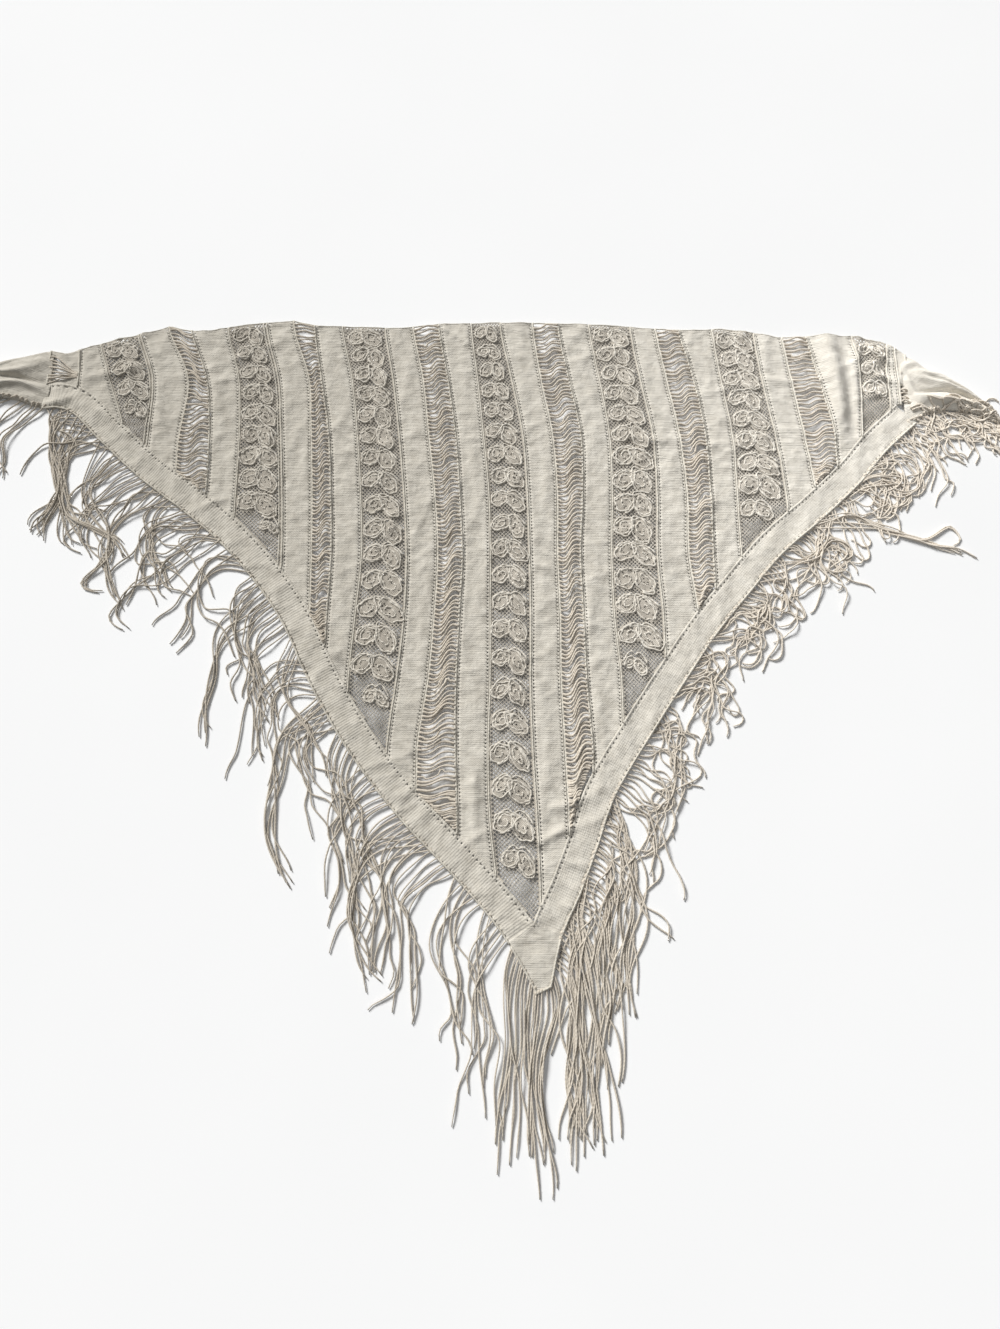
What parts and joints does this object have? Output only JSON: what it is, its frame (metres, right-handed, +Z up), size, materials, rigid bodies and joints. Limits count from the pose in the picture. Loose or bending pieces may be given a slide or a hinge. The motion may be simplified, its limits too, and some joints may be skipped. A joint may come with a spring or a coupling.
{
  "type": "triangle shawl",
  "caption": "Knitted triangle shawl laid flat, with alternating plain, ladder and lace bands, a ribbed border on its two lower sides, gathered ends and a long knotted fringe.",
  "frame": {"origin": "middle of the laid-out shawl's box, fringe included, on the surface it lies on", "axes": "+X along the long neck edge to the folded right tail, +Y from the tip to the neck edge, +Z up from the surface"},
  "size_m": [1.451, 1.0408, 0.013],
  "materials": {
    "plain_knit": "fine stocking stitch, warm light grey, matt with a slight lustre",
    "lace_knit": "openwork net with raised leaf and rosette motifs",
    "ladder_knit": "twisted yarn rungs between chain edges",
    "border_knit": "close ribs across a plain border",
    "fringe_yarn": "twisted yarn strands"
  },
  "bodies": {
    "root": {"ladder_0": "ladder_knit", "plain_0": "plain_knit", "lace_1": "lace_knit", "plain_1": "plain_knit", "ladder_1": "ladder_knit", "plain_2": "plain_knit", "lace_2": "lace_knit", "plain_3": "plain_knit", "ladder_2": "ladder_knit", "plain_4": "plain_knit", "lace_3": "lace_knit", "plain_5": "plain_knit", "ladder_3": "ladder_knit", "plain_6": "plain_knit", "lace_4": "lace_knit", "plain_7": "plain_knit", "ladder_4": "ladder_knit", "plain_8": "plain_knit", "lace_5": "lace_knit", "plain_9": "plain_knit", "ladder_5": "ladder_knit", "plain_10": "plain_knit", "lace_6": "lace_knit", "plain_11": "plain_knit", "ladder_6": "ladder_knit", "plain_12": "plain_knit", "lace_7": "lace_knit", "plain_13": "plain_knit", "ladder_7": "ladder_knit", "border_left": "border_knit", "border_right": "border_knit", "tip": "border_knit", "tail_left": "plain_knit", "tail_right": "plain_knit", "fringe_tail_left": "fringe_yarn", "fringe_left": "fringe_yarn", "fringe_tip": "fringe_yarn", "fringe_right": "fringe_yarn", "fringe_tail_right": "fringe_yarn"}
  },
  "joints": []
}
